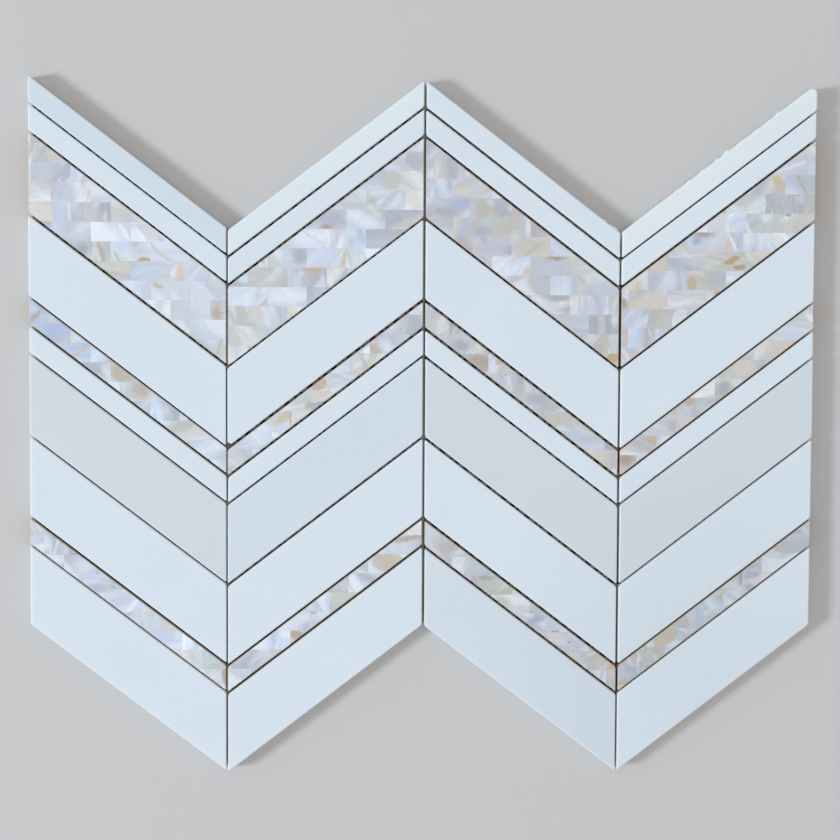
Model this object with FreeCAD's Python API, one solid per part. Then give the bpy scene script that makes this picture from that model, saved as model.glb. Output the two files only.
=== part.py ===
import FreeCAD, Part
import math
import os
import random

# Chevron wall tile: one net-backed mosaic sheet, lying face up.
# Four columns of slanted strips meet in a zigzag. Ten rows run down each column.
# X runs across the columns, Y up the sheet, Z out of its face.
# The origin is under the middle of the sheet, on the underside of the net.

# Driving dimensions, in millimetres and degrees
COLUMNS = 4
COLUMN_PITCH = 100.0
JOINT = 1.1
STRIP_ANGLE = 37.4
NARROW_STRIP = 10.2
WIDE_STRIP = 31.8
STRIP_THICKNESS = 10.0

# Edges of the sawn strips
CORNER_CUT = 0.7
ARRIS = 0.45
WORN_CORNER_RADIUS = 2.2
CHIPPED_CORNER_CUT = 2.4

# Mother-of-pearl chips, glued to a ceramic backing in half-bond brickwork
CHIP_LENGTH = 19.8
CHIP_HEIGHT = 9.7
CHIP_THICKNESS = 2.0
CHIP_SEAM = 0.1
SMALLEST_CHIP_AREA = 0.3

# Net of glass yarn, glued under the strips
WARP_PITCH = 4.0
WARP_WIDTH = 1.4
WARP_THICKNESS = 0.2
WEFT_PITCH = 4.8
WEFT_WIDTH = 1.8
WEFT_THICKNESS = 0.2
NET_MARGIN = 1.5
SHORTEST_STRAND = 3.0

# Hand setting, by column: how far it sits right of and above its place, and the joint between
# its strips. A strip may sit off its own place by the play.
COLUMN_SLIP = ((0.2, 0.85), (-0.1, -0.15), (0.0, -0.4), (0.05, -0.3))
COLUMN_JOINT = (0.95, 1.15, 1.2, 1.0)
SETTING_PLAY = 0.15
SETTING_SEED = 5

# Rows from the top of the sheet down: material and width of the strip
ROWS = (
    ("marble", NARROW_STRIP),
    ("marble", NARROW_STRIP),
    ("shell", WIDE_STRIP),
    ("marble", WIDE_STRIP),
    ("shell", NARROW_STRIP),
    ("marble", NARROW_STRIP),
    ("marble", WIDE_STRIP),
    ("marble", WIDE_STRIP),
    ("shell", NARROW_STRIP),
    ("marble", WIDE_STRIP),
)

# The strip whose outer top corner is worn round, and the one whose lower left corner is chipped off
WORN_STRIP = (1, 4)
CHIPPED_STRIP = (4, 2)

# Where the brickwork of each shell strip starts: how far a corner between chips lies
# right of and above the strip's middle, by row and column
BRICKWORK_START = {
    (3, 1): (-18.4, 3.4),
    (3, 2): (0.4, 1.8),
    (3, 3): (-5.8, -1.5),
    (3, 4): (-6.1, -8.6),
    (5, 1): (-8.9, 2.0),
    (5, 2): (-17.3, -21.2),
    (5, 3): (2.7, -11.4),
    (5, 4): (-10.9, -14.1),
    (9, 1): (7.3, -3.7),
    (9, 2): (2.2, -2.9),
    (9, 3): (24.5, -23.3),
    (9, 4): (-5.3, -11.8),
}

# Worked out from the driving dimensions
SLOPE = math.tan(math.radians(STRIP_ANGLE))
ACROSS = math.cos(math.radians(STRIP_ANGLE))
STRIP_SPAN = COLUMN_PITCH - JOINT
NET_THICKNESS = WARP_THICKNESS + WEFT_THICKNESS
BACKING_THICKNESS = STRIP_THICKNESS - CHIP_THICKNESS
FACE_HEIGHT = NET_THICKNESS + STRIP_THICKNESS


def prism(points, bottom, height):
    """A flat outline raised from a given height."""
    corners = [FreeCAD.Vector(x, y, bottom) for x, y in points]
    wire = Part.makePolygon(corners + corners[:1])
    return Part.Face(wire).extrude(FreeCAD.Vector(0, 0, height))


def column_middle(column):
    """X of the middle of a column, counted from 1."""
    return (column - (COLUMNS + 1) / 2) * COLUMN_PITCH


def rise(column):
    """Slope of the strips in a column: odd columns fall to the right, even ones rise."""
    return -SLOPE if column % 2 else SLOPE


def row_middles():
    """Y of the middle of each row, from the top down, with the whole sheet centred on Y = 0."""
    steps = [0.0]
    for (_, above), (_, below) in zip(ROWS, ROWS[1:]):
        steps.append(steps[-1] + (above / 2 + JOINT + below / 2) / ACROSS)
    top_edge = ROWS[0][1] / 2 / ACROSS
    bottom_edge = steps[-1] + ROWS[-1][1] / 2 / ACROSS
    middle = (bottom_edge - top_edge) / 2
    return [middle - step for step in steps]


def strip_corners(column, x, y, width):
    """Corners of a slanted strip: bottom left, bottom right, top right, top left."""
    half_span = STRIP_SPAN / 2
    half_height = width / 2 / ACROSS
    lift = rise(column) * half_span
    return [
        (x - half_span, y - lift - half_height),
        (x + half_span, y + lift - half_height),
        (x + half_span, y + lift + half_height),
        (x - half_span, y - lift + half_height),
    ]


def upright_edges(solid, at, within):
    """The upright edges of a solid that stand within a distance of one point."""
    found = []
    for edge in solid.Edges:
        box = edge.BoundBox
        is_upright = box.ZLength > box.XLength + box.YLength
        if is_upright and math.dist((box.Center.x, box.Center.y), at) < within:
            found.append(edge)
    return found


def strip_blank(corners, bottom, height, worn_corner=None, chipped_corner=None):
    """A strip raised from its corners, upright edges cut flat: deeper if chipped, round if worn."""
    solid = prism(corners, bottom, height)
    for corner in corners:
        edges = upright_edges(solid, corner, CORNER_CUT)
        if corner == worn_corner:
            solid = solid.makeFillet(WORN_CORNER_RADIUS, edges)
        else:
            cut = CHIPPED_CORNER_CUT if corner == chipped_corner else CORNER_CUT
            solid = solid.makeChamfer(cut, edges)
    return solid


def ease_face_edges(solid):
    """Bevel the edges of a strip's polished face a little."""
    face_edges = [e for e in solid.Edges if e.BoundBox.ZMin > FACE_HEIGHT - ARRIS / 2]
    return solid.makeChamfer(ARRIS, face_edges)


def marble_strip(corners, row, column):
    """One sawn and polished piece of marble."""
    worn_corner = corners[2] if (row, column) == WORN_STRIP else None
    chipped_corner = corners[0] if (row, column) == CHIPPED_STRIP else None
    blank = strip_blank(corners, NET_THICKNESS, STRIP_THICKNESS, worn_corner, chipped_corner)
    return ease_face_edges(blank)


def shell_backing(corners):
    """The ceramic strip that carries the chips."""
    return strip_blank(corners, NET_THICKNESS, BACKING_THICKNESS)


def shell_chips(corners, start_x, start_y):
    """Brickwork of chips over the backing, cut off at the strip's edges."""
    backing_top = NET_THICKNESS + BACKING_THICKNESS
    outline = strip_blank(corners, backing_top, CHIP_THICKNESS)
    box = outline.BoundBox
    step_x = CHIP_LENGTH + CHIP_SEAM
    step_y = CHIP_HEIGHT + CHIP_SEAM
    first_course = math.floor((box.YMin - start_y) / step_y)
    last_course = math.ceil((box.YMax - start_y) / step_y)
    chips = []
    for course in range(first_course, last_course):
        course_x = start_x + (course % 2) * step_x / 2
        first_chip = math.floor((box.XMin - course_x) / step_x)
        last_chip = math.ceil((box.XMax - course_x) / step_x)
        for number in range(first_chip, last_chip):
            corner = FreeCAD.Vector(
                course_x + number * step_x + CHIP_SEAM / 2,
                start_y + course * step_y + CHIP_SEAM / 2,
                backing_top,
            )
            chip = Part.makeBox(CHIP_LENGTH, CHIP_HEIGHT, CHIP_THICKNESS, corner)
            for piece in chip.common(outline).Solids:
                if piece.Volume > SMALLEST_CHIP_AREA * CHIP_THICKNESS:
                    chips.append(piece)
    return Part.Compound(chips)


def net_edge_height(x, side):
    """Y of the net's zigzag edge, side 1 at the top and -1 at the bottom."""
    half_rows = row_middles()[0] + ROWS[0][1] / 2 / ACROSS
    column = min(COLUMNS, max(1, math.floor(x / COLUMN_PITCH + COLUMNS / 2) + 1))
    slant = rise(column) * (x - column_middle(column))
    return side * (half_rows - NET_MARGIN / ACROSS) + slant


def net_outline():
    """Corners of the net: the sheet's outline, drawn in by the margin."""
    half_width = (COLUMNS * COLUMN_PITCH - JOINT) / 2 - NET_MARGIN
    turns = [(number - COLUMNS / 2) * COLUMN_PITCH for number in range(1, COLUMNS)]
    across = [-half_width] + turns + [half_width]
    bottom = [(x, net_edge_height(x, -1)) for x in across]
    top = [(x, net_edge_height(x, 1)) for x in reversed(across)]
    return bottom + top


def net_layer(pitch, width, thickness, bottom, upright):
    """Straight strands of one direction, trimmed to the net's outline."""
    outline = net_outline()
    blank = prism(outline, bottom, thickness)
    box = blank.BoundBox
    reach = (box.XMax if upright else box.YMax) - width / 2
    count = math.floor(reach / pitch)
    strands = []
    for number in range(-count, count + 1):
        middle = number * pitch
        if upright:
            corner = FreeCAD.Vector(middle - width / 2, box.YMin, bottom)
            strand = Part.makeBox(width, box.YLength, thickness, corner)
        else:
            corner = FreeCAD.Vector(box.XMin, middle - width / 2, bottom)
            strand = Part.makeBox(box.XLength, width, thickness, corner)
        for piece in strand.common(blank).Solids:
            if piece.Volume > SHORTEST_STRAND * width * thickness:
                strands.append(piece)
    return Part.Compound(strands)


def build_strips():
    """Every strip of the sheet, by node name."""
    chance = random.Random(SETTING_SEED)
    nodes = {}
    for column in range(1, COLUMNS + 1):
        slip_x, slip_y = COLUMN_SLIP[column - 1]
        spare_width = JOINT - COLUMN_JOINT[column - 1]
        for row, ((material, width), row_y) in enumerate(zip(ROWS, row_middles()), start=1):
            x = column_middle(column) + slip_x + chance.uniform(-SETTING_PLAY, SETTING_PLAY)
            y = row_y + slip_y + chance.uniform(-SETTING_PLAY, SETTING_PLAY)
            corners = strip_corners(column, x, y, width + spare_width)
            place = f"row_{row:02d}_col_{column}"
            if material == "marble":
                nodes[f"marble_{place}"] = marble_strip(corners, row, column)
            else:
                start_x, start_y = BRICKWORK_START[row, column]
                nodes[f"shell_base_{place}"] = shell_backing(corners)
                nodes[f"shell_chips_{place}"] = shell_chips(corners, x + start_x, y + start_y)
    return nodes


def build_net():
    """The two layers of strands, by node name: the warp lies lowest."""
    return {
        "net_warp": net_layer(WARP_PITCH, WARP_WIDTH, WARP_THICKNESS, 0.0, upright=True),
        "net_weft": net_layer(WEFT_PITCH, WEFT_WIDTH, WEFT_THICKNESS, WARP_THICKNESS, upright=False),
    }


def main():
    os.makedirs("parts", exist_ok=True)
    nodes = build_strips()
    nodes.update(build_net())
    for name, shape in nodes.items():
        shape.exportStep(f"parts/{name}.step")
    whole = Part.Compound(list(nodes.values())).BoundBox
    print("nodes", len(nodes))
    print("size", round(whole.XLength, 2), round(whole.YLength, 2), round(whole.ZLength, 2))
    print("middle", round(whole.Center.x, 3), round(whole.Center.y, 3))


main()
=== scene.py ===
import math
import random

import bmesh
import bpy
from mathutils import Matrix, Vector, noise


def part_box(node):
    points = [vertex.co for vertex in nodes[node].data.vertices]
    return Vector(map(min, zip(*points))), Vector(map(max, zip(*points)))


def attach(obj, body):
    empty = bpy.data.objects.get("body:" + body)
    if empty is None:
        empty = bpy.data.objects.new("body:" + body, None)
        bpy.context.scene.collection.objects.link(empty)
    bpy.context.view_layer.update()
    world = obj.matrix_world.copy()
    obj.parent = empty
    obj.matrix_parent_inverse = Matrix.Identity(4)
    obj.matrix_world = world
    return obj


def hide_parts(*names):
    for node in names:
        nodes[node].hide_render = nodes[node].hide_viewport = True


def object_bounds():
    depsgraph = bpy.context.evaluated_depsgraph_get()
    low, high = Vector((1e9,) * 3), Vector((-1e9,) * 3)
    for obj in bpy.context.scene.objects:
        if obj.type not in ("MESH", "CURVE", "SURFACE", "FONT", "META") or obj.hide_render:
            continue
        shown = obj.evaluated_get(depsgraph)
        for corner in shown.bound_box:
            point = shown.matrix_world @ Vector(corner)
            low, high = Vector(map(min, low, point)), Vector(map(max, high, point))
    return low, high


# The looks of a net-backed mosaic sheet: marble strips and mother-of-pearl strips in a zigzag.
# Lengths are metres, and small ones are written in millimetres and turned to metres with MM. In
# the materials, and for the marks and the rough edges, places and lengths stay in millimetres.
MM = 0.001

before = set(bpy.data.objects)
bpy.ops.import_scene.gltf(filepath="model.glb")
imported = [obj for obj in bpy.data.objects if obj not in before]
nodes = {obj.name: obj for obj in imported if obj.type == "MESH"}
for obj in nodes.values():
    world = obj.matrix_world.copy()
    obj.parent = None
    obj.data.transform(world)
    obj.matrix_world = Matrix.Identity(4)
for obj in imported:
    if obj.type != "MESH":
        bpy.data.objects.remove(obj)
cad_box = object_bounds()

# What the frame says of the sheet
FACE_HEIGHT = cad_box[1].z
NET_NODES = ("net_warp", "net_weft")
MARBLE_NODES = sorted(name for name in nodes if name.startswith("marble_"))
BASE_NODES = sorted(name for name in nodes if name.startswith("shell_base_"))
CHIP_NODES = sorted(name for name in nodes if name.startswith("shell_chips_"))

# Camera: straight over the sheet but for a small tilt, as the photograph was taken
PHOTO_SIDE = 840
CAMERA_DISTANCE = 1050 * MM
CAMERA_TILT = 3.48
CAMERA_YAW = 2.57
CAMERA_ROLL = -0.12
CAMERA_OFFSET = (1.99 * MM, -4.62 * MM)
CAMERA_REACH = (0.01, 50)
PIXELS_PER_METRE = 1963.5
SENSOR_WIDTH = 36.0

# Light: a soft lamp low on the left, a little cold, and an even pale room, a little warm
KEY_HEADING = 188.0
KEY_ELEVATION = 36.0
KEY_DISTANCE = 5.5
KEY_WIDTH = 1.15
KEY_POWER = 160.0
KEY_TINT = (0.92, 1.0, 1.08)
ROOM_STRENGTH = 0.7
ROOM_TINT = (1.03, 1.0, 0.965)

# The frame's meshes: how near two points are one, and how flat a row of faces is one
SAME_POINT = 0.001 * MM
SAME_PLACE = 0.01 * MM
FLAT_ANGLE = math.radians(1)
STRAIGHT = 0.999

# Pieces that keep their shape have their edges softened a little
EDGE_SOFTENING = 0.1 * MM
SHARP_ANGLE = math.radians(20)

# Chips: how far a side moves out to close its seam, and how far a sawn edge is eased
SEAM_CLOSING = 0.045 * MM
CHIP_ARRIS = 0.4 * MM
CHIP_THICKNESS = 2.0 * MM
MARKS_PER_CHIP = 3
SHELL_SEED = 11

# Yarns: a step along one, the corners of its section, how square the section is (1 is an oval),
# and how much it swells and wanders, as a share of its half width
YARN_STEP = 6.0 * MM
YARN_SIDES = 10
YARN_SQUARENESS = 0.55
YARN_WANDER = 0.07
SWELLS_PER_METRE = 60
SWAYS_PER_METRE = 35

# The top edges that were left rough. Along each one a few bumps stand out: how far right of the
# sheet's middle, how far out, and half as long as they are. The levels say how far below the face
# a bump is followed, and what share of it stands out there. Grit lies between the bumps, and runs
# on for a little before the first and past the last.
ROUGH_STEPS = 320
STRIP_ARRIS = 0.45
GRIT_HEIGHT = 0.16
GRIT_SHARE = 0.3
GRIT_RUN_ON = (3.0, 1.0)
GRIT_PACE = (0.9, 1.5)
UNEVENNESS = 0.4
UNEVEN_PACE = (1.7, 2.0)
ROUGH_EDGES = {
    "marble_row_01_col_3": {
        "bumps": ((91.4, 0.5, 1.6), (96.8, 0.95, 2.6)),
        "levels": ((5.0, 0.0), (3.6, 0.9), (1.6, 1.0), (0.9, 0.7), (STRIP_ARRIS, 0.0), (0.0, 0.0)),
    },
    "marble_row_01_col_4": {
        "bumps": (
            (115.7, 0.32, 1.1),
            (118.5, 0.4, 1.2),
            (128.7, 0.5, 1.4),
            (134.6, 0.65, 1.3),
            (141.5, 0.6, 2.8),
            (148.8, 0.95, 1.3),
            (153.5, 1.3, 2.0),
            (161.2, 0.65, 2.3),
            (168.9, 0.35, 2.5),
            (175.4, 0.45, 1.1),
            (179.9, 0.95, 1.9),
            (197.9, 0.4, 1.5),
        ),
        "levels": ((5.0, 0.0), (3.0, 0.4), (1.6, 0.85), (STRIP_ARRIS, 1.0), (0.0, 1.0)),
    },
}


def srgb(red, green, blue):
    """A colour seen on a screen, 0 to 255, as the linear values that a shader takes."""

    def linear(channel):
        share = channel / 255
        return share / 12.92 if share <= 0.04045 else ((share + 0.055) / 1.055) ** 2.4

    return (linear(red), linear(green), linear(blue), 1.0)


# Marble, its sawn sides and the adhesive on its back
WHITE_MARBLE = srgb(213, 225, 236)
GREY_MARBLE = srgb(206, 216, 225)
SAWN_SIDE = srgb(230, 232, 229)
ADHESIVE = srgb(186, 180, 164)
SAW_STRETCH = (0.15, 0.15, 3.0)

# Strips of marble drawn lighter or darker than the rest, as a factor of red, green and blue
MARBLE_CAST = {
    "marble_row_01_col_1": (0.93, 0.94, 0.95),
    "marble_row_01_col_2": (1.05, 1.05, 1.02),
    "marble_row_01_col_4": (1.08, 1.06, 1.02),
    "marble_row_02_col_4": (1.03, 1.03, 1.03),
    "marble_row_07_col_2": (1.02, 1.04, 1.07),
    "marble_row_10_col_3": (0.95, 0.95, 0.95),
    "marble_row_10_col_4": (1.03, 1.03, 1.03),
}

# Painted shade: the sheet is drawn a little darker towards its lower right corner
PAINTED_SHADE_MIDDLE = (150.0, -135.0)
PAINTED_SHADE_REACH = 150.0
PAINTED_SHADE_SHARE = 0.09

# Ceramic backing, net and floor. The floor has painted shade: it is drawn dark where the sheet lies on it.
CERAMIC = srgb(196, 164, 132)
CERAMIC_SPECK = srgb(110, 84, 62)
YARN = srgb(164, 165, 153)
# The yarn glows a little, though it is no lamp: painted light
YARN_PAINTED_GLOW = 0.17
WARP_STRETCH = (6.0, 0.4, 1.0)
WEFT_STRETCH = (0.4, 6.0, 1.0)
FLOOR = srgb(196, 197, 199)
FLOOR_SIDE = 12.0
FLOOR_PAINTED_SHADE = srgb(12, 12, 12)
FLOOR_SHADE_REACH = 5.0 * MM

# Noises of the materials: cycles to the millimetre, then detail, roughness and distortion
MARBLE_CLOUD = (0.018, 3.0)
MARBLE_MOTTLE = (0.22, 3.0, 0.6)
MARBLE_GRAIN = (1.3, 2.0)
SAW_STROKES = (1.0, 3.0)
ADHESIVE_PATCHES = (0.08, 4.0)
CERAMIC_MOTTLE = (0.5, 4.0, 0.6)
CERAMIC_SPECKS = (1.8, 2.0)
YARN_FIBRES = (1.0, 2.0)
FLOOR_TOOTH = (0.4, 2.0)
SHELL_WOBBLE = (0.09, 1.0)
SHELL_RIPPLE = (0.5, 2.0)
SHELL_DRIFT = (0.1, 1.0)
SHELL_VEILS = (1.0, 1.5, 0.5, 0.6)
SHELL_STREAKS = (0.9, 4.0, 0.65)
SHELL_MOTTLE = (0.4, 5.0, 0.68)
MARK_RAG = (0.35, 2.0)

# How far apart, sideways and in depth, the pieces of stock may come from
SLAB_SPREAD = (900.0, 400.0)
SHELL_SPREAD = (700.0, 300.0)
DRIFT_OFFSET = (40.0, 0.0, 9.0)

# How far the growth layers of the shell bend, how veils and streaks are stretched along them, and
# how far a mark's rim is ragged
WOBBLE_REACH = 6.0
RIPPLE_REACH = 0.6
VEIL_PACE = 0.14
VEIL_BEND = (0.07, 0.07, 0.1)
STREAK_BEND = (0.12, 0.12, 0.0)
LINE_SOFTNESS = 0.5
RAG_REACH = (2.4, 2.4, 0.0)

# What the growth layers of one chip may be like: their radius, the borders between its tones, and
# its line and painted glint, a highlight drawn along one layer, with how often it has them
LAYER_RADII = (15.0, 25.0, 50.0, 100.0)
FIRST_BORDER = (-5.0, 1.0)
BORDER_GAP = (2.0, 8.0)
BORDER_SOFTNESS = (0.3, 1.5, 3.0, 3.0, 5.0, 5.0)
SECOND_TONE_STEPS = (-2, -1, -1, 1, 1, 2, 4)
THIRD_TONE_STEPS = (-2, -1, 0, 1, 2)
CHIP_LIGHTNESS = (0.94, 1.06)
LINE_CHANCE = 0.25
LINE_STRENGTH = (0.2, 0.6)
LINE_PLACE = (-6.0, 6.0)
LINE_HALF_WIDTH = (0.1, 0.8)
LINE_TONES = ("khaki", "silver", "silver", "tan", "white")
# A painted glint: a bright highlight drawn along one layer of a chip
PAINTED_GLINT_CHANCE = 0.12
PAINTED_GLINT_STRENGTH = (0.2, 0.5)
PAINTED_GLINT_PLACE = (-5.0, 5.0)
PAINTED_GLINT_HALF_WIDTH = (1.5, 3.5)

# Tones of the shell, in an order where neighbours are alike, and how often each one comes
SHELL_TONES = {
    "white": (srgb(221, 231, 244), 3),
    "pale_blue": (srgb(197, 213, 236), 3),
    "pearl": (srgb(201, 212, 225), 8),
    "lavender": (srgb(194, 202, 220), 3),
    "mauve": (srgb(180, 184, 200), 2),
    "slate_grey": (srgb(173, 181, 192), 2),
    "pink_grey": (srgb(200, 201, 209), 4),
    "cream": (srgb(210, 209, 204), 2),
    "khaki": (srgb(194, 196, 192), 2),
    "grey_green": (srgb(192, 203, 206), 4),
    "silver": (srgb(190, 200, 211), 7),
}

# Tones that drift and veils bring into the shell, those of its painted glints, and that of its sawn sides
WARM_DRIFT = srgb(208, 204, 204)
COLD_DRIFT = srgb(190, 207, 232)
PALE_VEIL = srgb(224, 230, 240)
GREY_VEIL = srgb(178, 185, 198)
PAINTED_GLINT_WARM_RIM = srgb(214, 206, 208)
PAINTED_GLINT_COLD_RIM = srgb(198, 217, 234)
PAINTED_GLINT_CORE = srgb(230, 238, 249)
SHELL_SIDE = srgb(192, 178, 158)

# Tones of the marks that cross a chip
MARK_TONES = {
    "apricot": srgb(209, 188, 173),
    "black": srgb(106, 104, 104),
    "blue": srgb(178, 193, 224),
    "brown": srgb(168, 148, 130),
    "cream": srgb(208, 206, 198),
    "cream_tan": srgb(198, 190, 172),
    # The next two are painted highlights: a bright glint and a softer sheen
    "flash": srgb(238, 244, 251),
    "painted_sheen": srgb(232, 231, 234),
    "gold": srgb(194, 183, 156),
    "khaki": srgb(194, 194, 186),
    "lavender": srgb(191, 200, 222),
    "mauve": srgb(175, 178, 195),
    "ochre": srgb(184, 160, 122),
    "olive": srgb(187, 188, 184),
    "pale_blue": srgb(193, 208, 231),
    "pearl": srgb(206, 216, 229),
    "pink": srgb(211, 207, 219),
    "pink_grey": srgb(201, 202, 211),
    "red_brown": srgb(176, 157, 144),
    "rose": srgb(187, 181, 187),
    "silver": srgb(194, 205, 219),
    "slate": srgb(162, 170, 186),
    "tan": srgb(183, 171, 156),
    "teal": srgb(158, 174, 184),
    "white": srgb(219, 231, 245),
}

# How well a mark covers the chip. Gleams cover it less, with a softer rim: painted glints and painted
# sheen, and white marks, which are partly the shell's own white and partly painted highlight.
MARK_COVER = 0.85
GLEAM_COVER = 0.6
GLEAMS = ("flash", "painted_sheen", "white")
GLEAM_SOFTENING = 0.25
SOFTEST_RIM = 0.95
NO_MARK = ("pearl", 0.1, 0.0, 0.0, 1.0, 1.0, 0)

# How light and how warm the shell of each strip is, by row and column
SHELL_CAST = {
    (3, 1): (1.01, 0.01),
    (3, 2): (1.04, 0.0),
    (3, 3): (0.95, 0.02),
    (3, 4): (0.97, 0.01),
    (5, 1): (1.03, -0.04),
    (5, 2): (1.03, -0.01),
    (5, 3): (0.94, 0.02),
    (5, 4): (0.95, 0.045),
    (9, 1): (1.09, -0.03),
    (9, 2): (1.0, -0.01),
    (9, 3): (0.91, 0.01),
    (9, 4): (0.89, 0.01),
}
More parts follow.
